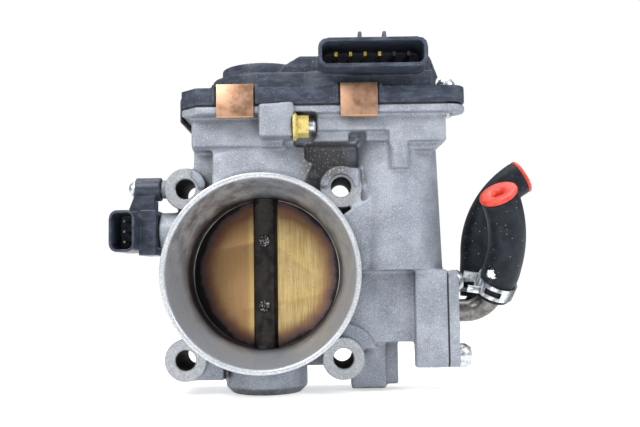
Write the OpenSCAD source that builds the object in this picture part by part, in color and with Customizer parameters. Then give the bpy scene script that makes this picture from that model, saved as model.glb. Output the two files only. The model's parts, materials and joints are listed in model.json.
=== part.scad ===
// Electronic throttle body: cast housing, gear train and motor under a clipped plastic cover,
// pressure sensor on the left, heated coolant block with two hose stubs on the right.
// Millimetres. The origin is the centre of the outlet bore on the rear flange face,
// +X is right seen from the inlet, +Z is up along the throttle shaft, and the inlet faces -Y.

/* [Bore and neck] */
// Diameter of the bore at the throttle plate
bore_d = 64; // [62:0.5:65]
// Outer diameter of the inlet neck
neck_d = 80; // [79:0.5:82]
// Inner diameter of the inlet mouth
mouth_d = 75.2; // [72:0.2:76]
// Distance of the inlet rim in front of the rear face
neck_front = 54; // [53:0.5:58]
// Distance of the shaft axis in front of the rear face
shaft_back = 20; // [20:0.5:21]

/* [Manifold bolts] */
// Spacing of the bolt holes across
bolt_dx = 65.4; // [65:0.1:66]
// Spacing of the bolt holes up and down
bolt_dz = 71.4; // [71:0.1:72]
// Diameter of each bolt hole
bolt_hole_d = 8.5; // [8.4:0.1:9]
// Outer diameter of each bolt ear
ear_d = 17.8; // [17:0.1:19]
// Distance of the ear faces in front of the rear face
ear_front = 34.5; // [33:0.5:36]

/* [Throttle] */
// Diameter of the throttle shaft
shaft_d = 10.8; // [10.4:0.1:10.8]
// Thickness of the throttle plate
plate_t = 2; // [1.6:0.1:2.4]
// Angle of the plate at rest, from square across the bore
plate_rest = 8; // [6:1:14]

/* [Gear train] */
// Teeth of a full circle at the sector's pitch
sector_teeth = 56; // [56]
// Teeth of the small idler gear
idler_small_teeth = 16; // [16]
// Teeth of the large idler gear
idler_large_teeth = 62; // [62]
// Teeth of the motor pinion
pinion_teeth = 13; // [13]
// Tooth size of the sector stage
sector_module = 0.8; // [0.8]
// Tooth size of the motor stage
motor_module = 0.7; // [0.7]

/* [Gear case] */
// Height of the joint face between housing and cover
case_z = 68.5; // [68.5:0.5:69]
// Depth of the gear case in front of the rear face
case_front = 46; // [46:0.5:47]
// Overhang of the gear case behind the rear face
case_rear = 6.5; // [6.5:0.5:8]
// Left end of the gear case
case_left = 33.5; // [33:0.5:35]
// Right end of the gear case
case_right = 76.5; // [76:0.5:78]
// Wall thickness of the gear case
case_wall = 2.4; // [2.2:0.1:2.4]

/* [Connector] */
// Width of the six-way connector
plug_w = 44; // [43:0.5:45]
// Height of the six-way connector
plug_h = 12; // [11.5:0.5:12.5]
// Distance of the connector mouth in front of the rear face
plug_front = 56; // [54:1:58]

/* [Motor] */
// Outer diameter of the motor can
motor_d = 29; // [28:0.5:29]
// Outer diameter of the cast motor housing
motor_housing_d = 37; // [36.5:0.5:38]

/* [Coolant] */
// Outer diameter of the coolant hoses
hose_d = 15.3; // [14.5:0.1:15.5]
// Outer diameter of the coolant pipes
pipe_d = 9.2; // [8.6:0.1:9.2]

/* [Hidden] */

$fn = 64;
eps = 0.01;          // overshoot of a cut past a face
run_gap = 0.04;      // radial clearance of a running fit
set_gap = 0.02;      // radial clearance of a part that is seated and does not turn

bore_r = bore_d / 2;
neck_r = neck_d / 2;
outlet_r = bore_r + 0.5;     // counterbore at the rear face
outlet_depth = 8;
body_r = 38.5;               // outside of the barrel behind the neck
flare_r = 53;                // outside of the flare between the upper ears
flare_x = [-21, 17.5];       // left and right side of the flare
ledge_z = 52.8;              // top of the flare, and the ledge to its left
rail_wall_y = -32.5;         // front of the wall behind the rail
ear_r = ear_d / 2;
shaft_r = shaft_d / 2;
shaft_y = -shaft_back;

// gear centres lie in one line along X
sector_r = sector_teeth * sector_module / 2;
idler_x = sector_r + idler_small_teeth * sector_module / 2;
motor_x = idler_x + (idler_large_teeth + pinion_teeth) * motor_module / 2;
pressure_angle = 25;
backlash = 0.09;             // thinning of each tooth

// heights of the gear train
floor_z = 66.5;                // floor of the gear chamber
gasket_t = 0.5;
cover_z = case_z + gasket_t; // underside of the cover
band_top = 76;               // top of the cover's lowest tier
tier_top = 83;               // top of the cover's middle tier
dome_top = 88.3;
roof_t = 2;
sector_z = 67.2;
sector_t = 6;
large_z = 75.4;
large_t = 4.4;
sensor_z = 83.4;

// bearings of the throttle shaft
bearing_r = 8;
bearing_h = 7;
upper_bearing_z = 56;
lower_bearing_z = -44;
seal_r = 7.4;
seal_h = 3;
upper_seal_z = 43;
lower_seal_z = -37;
boss_r = 17.4;               // lower shaft boss
boss_z = -50.5;

// screws, clips and connector of the cover
case_screws = [[77, -case_front + 7.5], [-25.5, -3.6]];
case_lobe_r = 7.5;           // flange lobe round the right screw
case_screw_r = 1.9;
case_screw_length = 12.5;
clip_x = [-10.4, 40.4];
clip_w = 15.2;
rear_clip_x = [-5, 40.4];
plug_x = 46;
plug_z = 87.5;
plug_back = 38;
pin_pitch = 5.9;
pin_z = plug_z + 0.7;
pin_w = 1.2;
pin_h = 1.8;

// return spring pocket
spring_r = 12.4;
spring_wire = 1.5;
spring_turns = 5;
spring_z = 54.2;
spring_h = 9.6;
tower_r = 10.4;
pocket_r = 14.4;

// motor
motor_r = motor_d / 2;
motor_bottom = 8;
motor_top = 58;
motor_shaft_r = 1.6;
motor_screw_x = 16.4;        // each motor screw left and right of the motor's axis
housing_x = 56.3;            // centre of the cast motor housing
housing_bottom = 0.6;

// coolant block
coolant_left = 30;
coolant_face = 76.4;         // machined face that carries the coolant cover
coolant_plate_t = 4.2;
coolant_y = -34.5;
coolant_rear = 3.5;
pipe_z = -17.3;
front_pipe_y = -20.5;
rear_pipe_y = -4.4;
front_tilt = 32;             // lean of the front pipe and hose towards the inlet side
pipe_r = pipe_d / 2;
pipe_bore_r = pipe_r - 1;
hose_r = hose_d / 2;
hose_bore_r = pipe_r + set_gap;
spigot = 9;                  // length of pipe inside the hose
coolant_gasket_t = 0.4;
coolant_screw_places = [[-29.5, -35.4], [-12.5, -4.6], [-0.8, -26.4]];   // Y and Z
coolant_screw_r = 2;

// each pipe leaves the coolant cover and bends up, and its hose carries on in the same plane;
// steps of [straight, bend radius, bend angle]
pipe_start = coolant_face + coolant_gasket_t;
front_route = [[8.9, 11, 74]];
front_hose_route = [[8, -58, 40]];
rear_route = [[11, 6, 88]];
rear_hose_route = [[20, 40, 58]];

// pressure sensor
map_y = -28;
map_z = 18.2;
map_port_r = 8;
map_face_x = -44;
map_screw_z = 36.3;
map_plug_x = -56.3;
map_plug_y = -48;            // mouth of the sensor's socket
map_plug_w = 10.4;
map_plug_h = 17;

// teeth on the sector, counted from the one that points along +X at rest
sector_first = -3;
sector_last = 13;

// flat on the throttle shaft
flat_w = 8.4;
flat_depth = 3.6;
flat_end = 26.6;

// plate and its screws
plate_screw_z = [-14, 14];
plate_screw_r = 1.5;
plate_gap = 0.16;            // radial gap round the closed plate

// stop screw
stop_y = -43.4;
stop_z = 59.9;
stop_r = 2.5;
stop_face_x = 13.2;          // right face of the boss, where the nut seats

// ---------- helpers ----------

module rod_y(y0, y1, r) {
    translate([0, y0, 0]) rotate([-90, 0, 0]) cylinder(h = y1 - y0, r = r);
}

module rod_x(x0, x1, r) {
    translate([x0, 0, 0]) rotate([0, 90, 0]) cylinder(h = x1 - x0, r = r);
}

module box(x0, x1, y0, y1, z0, z1) {
    translate([x0, y0, z0]) cube([x1 - x0, y1 - y0, z1 - z0]);
}

// rectangle with true round corners, centred
module round_rect(w, h, r) {
    square([w - 2 * r, h], center = true);
    square([w, h - 2 * r], center = true);
    for (sx = [-1, 1], sy = [-1, 1])
        translate([sx * (w / 2 - r), sy * (h / 2 - r)]) circle(r = r);
}

// upright slab of that rectangle, facing the inlet, from y0 to y1
module slab_y(w, h, r, y0, y1) {
    translate([0, y1, 0]) rotate([90, 0, 0]) linear_extrude(y1 - y0) round_rect(w, h, r);
}

module hex(af, h) {
    cylinder(h = h, r = af / 2 / cos(30), $fn = 6);
}

module ring(ro, ri, h) {
    difference() {
        cylinder(h = h, r = ro);
        translate([0, 0, -1]) cylinder(h = h + 2, r = ri);
    }
}

// tube whose centreline is made of steps [straight, bend radius, bend angle]; a positive
// radius bends towards +X and a negative one towards -X
module tube_run(steps, ro, ri, i = 0) {
    if (i < len(steps)) {
        straight = steps[i][0];
        radius = abs(steps[i][1]);
        turn = steps[i][1] > 0 ? 0 : 180;
        angle = steps[i][2];
        linear_extrude(straight) tube_section(ro, ri);
        translate([0, 0, straight]) rotate([0, 0, turn]) if (angle > 0) {
            translate([radius, 0, 0]) rotate([90, 0, 0])
                rotate_extrude(angle = angle, start = 180 - angle)
                    translate([radius, 0]) tube_section(ro, ri);
            translate([radius * (1 - cos(angle)), 0, radius * sin(angle)])
                rotate([0, angle, 0]) rotate([0, 0, turn]) tube_run(steps, ro, ri, i + 1);
        }
    }
}

module tube_section(ro, ri) {
    difference() {
        circle(r = ro);
        circle(r = ri);
    }
}

// places its children where a tube_run of the given steps ends
module at_run_end(steps, i = 0) {
    if (i < len(steps)) {
        radius = abs(steps[i][1]);
        turn = steps[i][1] > 0 ? 0 : 180;
        angle = steps[i][2];
        translate([0, 0, steps[i][0]]) rotate([0, 0, turn])
            translate([radius * (1 - cos(angle)), 0, radius * sin(angle)])
                rotate([0, angle, 0]) rotate([0, 0, turn]) at_run_end(steps, i + 1) children();
    } else {
        children();
    }
}

// ---------- gears ----------

function inv(a) = tan(a) * 180 / PI - a;
function flank_angle(r, rb) = r <= rb ? 0 : inv(acos(rb / r));

// half the angle that a tooth spans at radius r
function tooth_half(r, teeth, m) =
    let (rp = teeth * m / 2, rb = rp * cos(pressure_angle),
         half_pitch = (PI * m / 2 - backlash) / 2 / rp * 180 / PI)
    half_pitch + inv(pressure_angle) - flank_angle(r, rb);

function polar(r, a) = [r * cos(a), r * sin(a)];

// outline of the teeth numbered first to last, root to tip to root
function teeth_points(teeth, m, first, last) =
    let (rp = teeth * m / 2, root = rp - 1.25 * m, tip = rp + m,
         radii = [root, max(root + 0.05, rp * cos(pressure_angle)), rp, (rp + tip) / 2, tip])
    [for (k = [first:last])
        let (a = k * 360 / teeth)
        each concat([for (r = radii) polar(r, a - tooth_half(r, teeth, m))],
                    [for (i = [len(radii) - 1:-1:0])
                        polar(radii[i], a + tooth_half(radii[i], teeth, m))])];

module spur_gear(teeth, m, h) {
    linear_extrude(h) polygon(teeth_points(teeth, m, 0, teeth - 1));
}

// ---------- gear case outline ----------

// rectangle with 45 degree corners, moved inwards by the inset
function case_points(inset) =
    let (k = inset * tan(22.5), left = -case_left, right = case_right,
         front = -case_front, rear = case_rear, c_fl = 7, c_rl = 10, c_rr = 14)
    [[left + c_fl + k, front + inset], [right - inset, front + inset],
     [right - inset, rear - c_rr - k], [right - c_rr - k, rear - inset],
     [left + c_rl + k, rear - inset], [left + inset, rear - c_rl - k],
     [left + inset, front + c_fl + k]];

module case_outline(inset) {
    polygon(case_points(inset));
}

module flange_outline() {
    case_outline(0);
    translate(case_screws[0]) circle(r = case_lobe_r);
}

// chamber inside the case walls, leaving the screw bosses solid
module chamber_outline() {
    difference() {
        case_outline(case_wall);
        for (p = case_screws) translate(p) circle(r = 5.2);
    }
}

// ---------- housing ----------

module neck_and_barrel() {
    rod_y(-neck_front, 0, body_r);
    rod_y(-neck_front, -neck_front + 15, neck_r);
    // flare from the neck up to the body face, between the two upper ears
    intersection() {
        union() {
            translate([0, -neck_front + 15, 0]) rotate([-90, 0, 0])
                cylinder(h = 2.6, r1 = neck_r, r2 = flare_r);
            rod_y(-neck_front + 17.6, -8, flare_r);
        }
        box(flare_x[0], flare_x[1], -neck_front, 0, 14, ledge_z);
    }
    intersection() {
        rod_y(-28, -8, flare_r);
        box(-29.6, 40, -neck_front, 0, 14, ledge_z);
    }
}

module bolt_columns() {
    for (sx = [-1, 1], sz = [-1, 1]) {
        translate([sx * bolt_dx / 2, 0, sz * bolt_dz / 2]) rod_y(-ear_front, 0, ear_r);
        // web from the ear back to the barrel
        rotate([0, -atan2(sz * bolt_dz, sx * bolt_dx), 0])
            box(28, 47, -ear_front + 3.4, 0, -7, 7);
    }
    // square shoulder of the upper right ear
    box(bolt_dx / 2, 41.2, -ear_front, -6, 27.6, 43.6);
    // wide step behind the lower right ear
    intersection() {
        translate([bolt_dx / 2, 0, -bolt_dz / 2]) rod_y(-ear_front + 2.6, -8, 14.4);
        box(24, 50, -40, 0, -32, -16);
    }
    // foot beside the lower left ear
    box(-bolt_dx / 2, -17.3, -ear_front + 3, 0, -44.4, -34);
}

module rear_flange() {
    rod_y(-9, 0, 40.5);
    box(-37, 37, -9, 0, -41, 41);
}

module upper_body() {
    box(-29.6, stop_face_x, -36, -2, 36, case_z - 3);
    box(stop_face_x, 40, -36, -2, 36, ledge_z);
    box(stop_face_x, 40, rail_wall_y, -2, 36, case_z - 3);
    box(-29.6, -0.4, -38.4, -30, ledge_z, case_z - 3);
    translate([0, shaft_y, 0]) translate([0, 0, 36]) cylinder(h = 28, r = 17.2);
    // gear case flange and the chamber tub beneath it
    translate([0, 0, case_z - 3.3]) linear_extrude(3.3) flange_outline();
    translate([0, 0, 56]) linear_extrude(10)
        polygon([[-29.6, -37], [stop_face_x, -37], [stop_face_x, rail_wall_y],
                 [40, rail_wall_y], [44, -37], [62, -37], [75.6, -33], [75.6, -10], [64, 0],
                 [-24, 0], [-29.6, -5]]);
    // stop screw boss with a chamfered right side
    box(-0.6, stop_face_x, -48, -35, 55.4, case_z - 2);
    translate([0, -case_front - 0.4, 0]) rotate([90, 0, 0]) linear_extrude(48 - case_front - 0.4)
        polygon([[-0.6, 60], [stop_face_x, 60], [stop_face_x + 0.8, 66], [stop_face_x, 69.6],
                 [-0.6, 68.8]]);
    box(-0.5, 8.8, -38.5, -34, 52.4, 56);
}

module rail_and_ribs() {
    box(22.7, 58, -42.4, -31, 58.4, 64.6);
    box(58, 76.3, -42, -26, 53.8, 65.4);
    translate([0, -30, 0]) rotate([90, 0, 0]) linear_extrude(9)
        polygon([[58, 54], [76.3, 54], [72.4, 50.6], [62, 50.6]]);
    box(21.3, 36.2, -39.6, -31, 54.2, 57.5);
    box(43.4, 52.8, -39.6, -31, 54.3, 57.5);
    box(52.8, 57.6, -41.5, -34, 52, 60);
    translate([57.1, -37.6, 42.6]) cylinder(h = 12, r = 4.45);
}

module motor_tower() {
    translate([housing_x, shaft_y, housing_bottom])
        cylinder(h = case_z - 3 - housing_bottom, r1 = motor_housing_d / 2 + 1.4,
                 r2 = motor_housing_d / 2 - 0.6);
    // wall between the barrel and the motor
    box(24, housing_x, -29, -5, housing_bottom, 62);
    // sloping rib from the upper right ear to the motor
    translate([0, -28, 0]) rotate([90, 0, 0]) linear_extrude(7.4)
        polygon([[30, housing_bottom], [57, housing_bottom], [57, 39], [34, 24.5], [30, 20]]);
}

module coolant_block() {
    box(coolant_left, 64, -29, -4, -29.6, 2);
    // flange that carries the coolant cover
    translate([63, 0, 0]) rotate([90, 0, 90]) linear_extrude(coolant_face - 63)
        polygon([[coolant_y, 0.6], [coolant_rear, 0.6], [coolant_rear, -30], [-23, -30],
                 [-25, -40.2], [coolant_y + 2, -40.2], [coolant_y, -38.2]]);
}

module lower_blocks() {
    translate([0, shaft_y, boss_z + 3]) cylinder(h = 22, r = boss_r);
    translate([0, shaft_y, boss_z]) cylinder(h = 3, r1 = boss_r - 3, r2 = boss_r);
    box(36.2, 51, -24, -8, -49.5, -26);
    box(51, 56.4, -21, -11, -48, -26);
}

module sensor_bosses() {
    translate([0, map_y, map_z]) rod_x(map_face_x, -30, map_port_r);
    translate([0, map_y, map_screw_z]) rod_x(map_face_x + 0.2, -33, 4);
}

// hollows in the front face that leave both upper ears and the flare standing
module ear_recesses() {
    difference() {
        union() {
            box(flare_x[1], 40.2, -60, -25.5, 28, 54.2);
            box(-35, flare_x[0], -60, -31, 28, ledge_z - 1);
        }
        rod_y(-61, 0, neck_r + 0.5);
        for (s = [-1, 1]) translate([s * bolt_dx / 2, 0, bolt_dz / 2]) rod_y(-61, 0, ear_r);
        box(bolt_dx / 2, 41.2, -61, -6, 27.6, 43.6);
    }
}

module bore_cut() {
    rotate([-90, 0, 0]) rotate_extrude()
        polygon([[0, -neck_front - 1], [mouth_d / 2 + 0.9, -neck_front - 1],
                 [mouth_d / 2 + 0.9, -neck_front], [mouth_d / 2, -neck_front + 1],
                 [mouth_d / 2 - 0.6, -neck_front + 4], [bore_r, -neck_front + 22],
                 [bore_r, -outlet_depth], [outlet_r, -outlet_depth], [outlet_r, 1], [0, 1]]);
}

module shaft_cuts() {
    translate([0, shaft_y, 0]) {
        translate([0, 0, boss_z - 1]) cylinder(h = case_z - boss_z, r = shaft_r + 0.35);
        translate([0, 0, upper_bearing_z]) cylinder(h = 14, r = bearing_r);
        translate([0, 0, upper_seal_z]) cylinder(h = seal_h, r = seal_r);
        translate([0, 0, lower_seal_z]) cylinder(h = seal_h, r = seal_r);
        translate([0, 0, boss_z - 1])
            cylinder(h = lower_bearing_z + bearing_h - boss_z + 1, r = bearing_r);
        // pocket of the return spring
        translate([0, 0, spring_z - 1.4]) ring(pocket_r, tower_r, 20);
        translate([0, 0, 63.4]) cylinder(h = 9, r = pocket_r);
    }
}

module motor_cuts() {
    translate([motor_x, shaft_y, motor_bottom - 2]) cylinder(h = 70, r = motor_r + 0.3);
    // slots that the motor screws pass into
    for (s = [-1, 1]) translate([motor_x + s * motor_screw_x, shaft_y, 53])
        cylinder(h = 9, r = 1.25);
    // recess that the motor's end cap drops into
    translate([motor_x, shaft_y, motor_top]) linear_extrude(12) motor_cap_outline(0.3);
    translate([idler_x, shaft_y, 56]) cylinder(h = 12, r = 2);
}

module motor_cap_outline(grow) {
    circle(r = 15.6 + grow);
    for (s = [-1, 1]) translate([s * motor_screw_x, 0]) circle(r = 2.8 + grow);
}

module throttle_housing() {
    color([0.72, 0.73, 0.75]) difference() {
        union() {
            neck_and_barrel();
            bolt_columns();
            rear_flange();
            upper_body();
            rail_and_ribs();
            motor_tower();
            coolant_block();
            lower_blocks();
            sensor_bosses();
        }
        bore_cut();
        for (sx = [-1, 1], sz = [-1, 1]) translate([sx * bolt_dx / 2, 0, sz * bolt_dz / 2])
            rod_y(-ear_front - 20, 1, bolt_hole_d / 2);
        shaft_cuts();
        motor_cuts();
        // gear chamber
        translate([0, 0, floor_z]) linear_extrude(10) chamber_outline();
        for (p = case_screws) translate([p[0], p[1], band_top - case_screw_length - 1])
            cylinder(h = 20, r = case_screw_r);
        // tapped hole of the stop screw, and room for the nut beside its boss
        translate([0, stop_y, stop_z]) {
            rod_x(3, 20, stop_r);
            rod_x(stop_face_x, 22.6, 6.2);
        }
        // pressure port and its seat
        translate([0, map_y, map_z]) {
            rod_x(map_face_x - 1, -36, 5.2);
            rod_x(-40, -20, 2);
        }
        translate([0, map_y, map_screw_z]) rod_x(-50, -37.6, 1.9);
        // hot water passage behind the coolant cover
        translate([64, front_pipe_y, pipe_z]) rod_x(0, 20, 4.4);
        translate([64, rear_pipe_y, pipe_z]) rod_x(0, 20, 4.4);
        box(64, 70, front_pipe_y, rear_pipe_y, pipe_z - 4, pipe_z + 4);
        for (p = coolant_screw_places) translate([0, p[0], p[1]]) rod_x(66, 80, coolant_screw_r);
        ear_recesses();
    }
}

// ---------- gear cover ----------

module tier_outline() {
    translate([0, shaft_y]) circle(r = 22.4);
    translate([idler_x, shaft_y]) circle(r = 24.8);
    polygon([[0, -42.4], [71, -42.4], [72.8, -40], [72.8, -8], [66, 1.6], [0, 1.6]]);
}

module cover_body() {
    translate([0, 0, cover_z]) linear_extrude(band_top - cover_z) flange_outline();
    translate([0, 0, band_top - eps]) linear_extrude(tier_top - band_top + eps) tier_outline();
    translate([0, shaft_y, tier_top]) cylinder(h = dome_top - tier_top, r = 18.3);
    // raised block that carries the connector
    translate([0, -6, 0]) rotate([90, 0, 0]) linear_extrude(32)
        polygon([[4, tier_top - 2], [9.4, 87], [16.2, 91], [70.8, 90], [74, tier_top - 2]]);
    // wall under the connector that runs down to the band
    box(22, 70, -40, -30, band_top, 88);
    translate([plug_x, 0, plug_z]) slab_y(plug_w, plug_h, 3.8, -plug_front, -plug_back + 4);
    // locking ribs on top of the connector
    for (x = [-5, 5]) translate([plug_x + x, -50, plug_z + plug_h / 2 - 0.5])
        rotate([90, 0, 90]) linear_extrude(1.6, center = true)
            polygon([[-3, 0], [10, 0], [10, 2], [3, 4.6], [0, 4.6]]);
    // guide ribs beside the clips
    for (x = clip_x, s = [-1, 1]) translate([x + s * (clip_w / 2 + 1.3), 0, 0])
        box(-0.6, 0.6, -case_front - 0.9, -case_front + 3, cover_z, band_top + 1.4);
    // skirt on the left corner
    box(-case_left - 0.8, -case_left, -38, -8, case_z - 5.4, band_top - 3);
}

module gear_cover() {
    color([0.13, 0.13, 0.14]) difference() {
        cover_body();
        // gear chamber in the band, the middle tier and the dome
        translate([0, 0, cover_z - 1]) linear_extrude(band_top - roof_t - cover_z + 1)
            chamber_outline();
        translate([0, 0, cover_z]) linear_extrude(tier_top - roof_t - cover_z) {
            translate([0, shaft_y]) circle(r = 20.2);
            translate([idler_x, shaft_y]) circle(r = 23);
            polygon([[0, -40], [70.4, -40], [70.4, -9], [64, -0.6], [0, -0.6]]);
        }
        translate([0, shaft_y, tier_top - 4]) cylinder(h = dome_top - roof_t - tier_top + 4, r = 16);
        // socket
        translate([plug_x, 0, plug_z])
            slab_y(plug_w - 3.2, plug_h - 3, 2.6, -plug_front - 1, -plug_back);
        for (p = case_screws) translate([p[0], p[1], cover_z - 1]) cylinder(h = 12, r = 2.3);
        // seat of the idler pin's upper end
        translate([idler_x, shaft_y, tier_top - 3]) cylinder(h = 2, r = 2.1);
        // passages of the terminals
        for (i = [0:5]) translate([plug_x + (i - 2.5) * pin_pitch, 0, pin_z])
            terminal(-42, -8, 0.05);
    }
}

module cover_gasket() {
    color("black") translate([0, 0, case_z]) linear_extrude(gasket_t) difference() {
        union() {
            difference() {
                case_outline(0.5);
                case_outline(case_wall - 0.3);
            }
            for (p = case_screws) translate(p) circle(r = 4.8);
        }
        for (p = case_screws) translate(p) circle(r = 2.4);
    }
}

// spring clip seen from its end, hooked over the band and under the flange
module clip(w) {
    rotate([90, 0, 90]) linear_extrude(w, center = true) union() {
        polygon([[0, 64.1], [0, 77.2], [2.4, 77.2], [2.4, band_top + 0.02],
                 [1.2, band_top + 0.02], [1.2, case_z - 3.32], [4.4, case_z - 3.32],
                 [4.4, 64.3], [1, 64.3]]);
        translate([1, 64.1]) circle(r = 1);
    }
}

module cover_clips() {
    color([0.78, 0.52, 0.36]) {
        for (x = clip_x) translate([x, -case_front - 1.22, 0]) clip(clip_w);
        for (x = rear_clip_x) translate([x, case_rear + 1.22, 0]) rotate([0, 0, 180])
            clip(clip_w);
    }
}

module pan_screw(head_r, head_h, shank_r, shank_h) {
    difference() {
        union() {
            cylinder(h = head_h * 0.55, r = head_r);
            translate([0, 0, head_h * 0.55])
                cylinder(h = head_h * 0.45, r1 = head_r, r2 = head_r * 0.72);
        }
        translate([0, 0, head_h * 0.4]) hex(head_r, head_h);
    }
    translate([0, 0, -shank_h]) cylinder(h = shank_h + eps, r = shank_r);
}

module cover_screws() {
    color("gainsboro") for (p = case_screws) translate([p[0], p[1], band_top])
        pan_screw(3.8, 3.4, case_screw_r - set_gap, case_screw_length);
}

// blade that runs back from the socket and bends down at its rear end
module terminal(front, foot, grow) {
    w = pin_w / 2 + grow;
    h = pin_h / 2 + grow;
    box(-w, w, front, -31 + grow, -h, h);
    box(-w, w, -32 - grow, -31 + grow, foot, h);
}

module connector_terminals() {
    color("gold") for (i = [0:5]) translate([plug_x + (i - 2.5) * pin_pitch, 0, pin_z])
        terminal(-50, -6, 0);
}

module position_sensor() {
    color("darkgreen") {
        translate([0, shaft_y, sensor_z]) ring(15.4, 2, 1.6);
        translate([0, shaft_y, sensor_z - 0.8]) box(3, 9, -4, 4, 0, 0.8 + eps);
    }
}

// ---------- shaft bearings, seals and spring ----------

module bearing_at(z) {
    translate([0, shaft_y, z]) difference() {
        ring(bearing_r - set_gap, shaft_r + run_gap, bearing_h);
        for (face = [-0.01, bearing_h - 0.6]) translate([0, 0, face])
            ring(bearing_r - 0.7, shaft_r + 0.9, 0.61);
    }
}

module upper_bearing() {
    color("lightsteelblue") bearing_at(upper_bearing_z);
}

module lower_bearing() {
    color("lightsteelblue") bearing_at(lower_bearing_z);
}

module seal_at(z) {
    translate([0, shaft_y, z]) ring(seal_r - set_gap, shaft_r + run_gap, seal_h);
}

module upper_seal() {
    color("dimgray") seal_at(upper_seal_z);
}

module lower_seal() {
    color("dimgray") seal_at(lower_seal_z);
}

module bearing_cap() {
    color("lightgray") translate([0, shaft_y, boss_z + 0.6]) difference() {
        cylinder(h = 2.2, r = bearing_r - set_gap);
        translate([0, 0, -1]) cylinder(h = 2.2, r = bearing_r - 1.2);
    }
}

// coil of round wire swept along a helix
module coil(radius, wire, turns, height) {
    per_turn = 20;
    sides = 6;
    steps = turns * per_turn;
    rings = [for (i = [0:steps])
        let (a = i * 360 / per_turn, z = height * i / steps)
        for (j = [0:sides - 1])
            let (b = j * 360 / sides, r = radius + wire / 2 * cos(b))
            [r * cos(a), r * sin(a), z + wire / 2 * sin(b)]];
    skin = [for (i = [0:steps - 1], j = [0:sides - 1])
        let (n = (j + 1) % sides, a = i * sides, b = (i + 1) * sides)
        each [[a + j, b + j, b + n], [a + j, b + n, a + n]]];
    ends = [[for (j = [0:sides - 1]) j], [for (j = [sides - 1:-1:0]) steps * sides + j]];
    polyhedron(points = rings, faces = concat(skin, ends));
}

module return_spring() {
    color("slategray") translate([0, shaft_y, spring_z])
        coil(spring_r, spring_wire, spring_turns, spring_h);
}

// ---------- motor ----------

module motor_case() {
    color("silver") translate([motor_x, shaft_y, motor_bottom]) difference() {
        union() {
            cylinder(h = motor_top - motor_bottom, r = motor_r);
            translate([0, 0, -1.6]) cylinder(h = 2, r = 5);
        }
        translate([0, 0, 1.2]) cylinder(h = motor_top, r = motor_r - 1.1);
        translate([0, 0, -0.8]) cylinder(h = 3, r = 3.2);
    }
}

module motor_end_cap() {
    color("ivory") translate([motor_x, shaft_y, motor_top]) difference() {
        linear_extrude(3) motor_cap_outline(0);
        translate([0, 0, -1]) cylinder(h = 5, r = 3.2);
        for (s = [-1, 1]) translate([s * motor_screw_x, 0, -1]) cylinder(h = 6, r = 1.35);
        for (s = [-1, 1]) translate([s * 9, 0, -1]) box(-0.45, 0.45, -2.1, 2.1, 0, 6);
    }
}

module motor_magnets() {
    color("dimgray") translate([motor_x, shaft_y, motor_bottom + 8])
        for (a = [0, 180]) rotate([0, 0, a - 60]) rotate_extrude(angle = 120)
            translate([10.8, 0]) square([motor_r - 1.1 - 10.8 - set_gap, 32]);
}

module motor_brushes() {
    color([0.25, 0.22, 0.2]) translate([motor_x, shaft_y, motor_top - 6])
        for (s = [-1, 1]) translate([s * 7, 0, 0]) box(-2.4, 2.4, -2, 2, 0, 5.9);
}

module motor_terminals() {
    color("goldenrod") translate([motor_x, shaft_y, motor_top])
        for (s = [-1, 1]) translate([s * 9, 0, 0]) box(-0.4, 0.4, -2, 2, 0, 8);
}

module motor_bushes() {
    color("peru") translate([motor_x, shaft_y, 0]) {
        translate([0, 0, motor_bottom - 0.8]) ring(3.2 - set_gap, motor_shaft_r + run_gap, 3);
        translate([0, 0, motor_top]) ring(3.2 - set_gap, motor_shaft_r + run_gap, 3);
    }
}

module motor_screws() {
    color("gainsboro") for (s = [-1, 1])
        translate([motor_x + s * motor_screw_x, shaft_y, motor_top + 3])
            pan_screw(2.4, 1.7, 1.25 - set_gap, 7);
}

module motor_shaft() {
    color("lightgray") translate([motor_x, shaft_y, motor_bottom - 0.6])
        cylinder(h = 81 - motor_bottom, r = motor_shaft_r);
}

module motor_armature() {
    color("sienna") translate([motor_x, shaft_y, motor_bottom + 10]) difference() {
        cylinder(h = 27, r = 10.3);
        translate([0, 0, -1]) cylinder(h = 29, r = motor_shaft_r);
        for (k = [0:4]) rotate([0, 0, k * 72]) translate([7.4, -0.8, -1]) cube([4, 1.6, 29]);
    }
}

module motor_commutator() {
    color("chocolate") translate([motor_x, shaft_y, motor_top - 7])
        ring(4.4, motor_shaft_r, 6.4);
}

module motor_pinion() {
    color("goldenrod") translate([motor_x, shaft_y, large_z - 0.8]) difference() {
        spur_gear(pinion_teeth, motor_module, large_t + 1.2);
        translate([0, 0, -1]) cylinder(h = 9, r = motor_shaft_r);
    }
}

// ---------- throttle shaft and gears ----------

// flat milled on the inlet side, with round ends
module shaft_flat() {
    box(-flat_w / 2, flat_w / 2, -shaft_r - 1, -flat_depth, -flat_end, flat_end);
    for (z = [-flat_end, flat_end])
        translate([0, 0, z]) rod_y(-shaft_r - 1, -flat_depth, flat_w / 2);
}

module throttle_shaft() {
    color([0.12, 0.12, 0.13]) translate([0, shaft_y, 0]) difference() {
        union() {
            translate([0, 0, lower_bearing_z - 1]) cylinder(h = 118, r = shaft_r);
            translate([0, 0, lower_bearing_z + 117]) cylinder(h = 6, r = 4);
        }
        // the flat, the slot that holds the plate and the holes of its screws
        rotate([0, 0, -plate_rest]) {
            shaft_flat();
            box(-20, 20, -plate_t / 2 - 0.01, plate_t / 2 + 0.01, -bore_r + 0.1, bore_r - 0.1);
            for (z = plate_screw_z) translate([0, 0, z]) rod_y(-6, 6, plate_screw_r);
        }
    }
}

module throttle_plate() {
    color([0.71, 0.55, 0.3]) translate([0, shaft_y, 0]) rotate([0, 0, -plate_rest])
        difference() {
            rod_y(-plate_t / 2, plate_t / 2, bore_r - plate_gap);
            for (z = plate_screw_z) translate([0, 0, z]) rod_y(-6, 6, plate_screw_r);
        }
}

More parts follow.
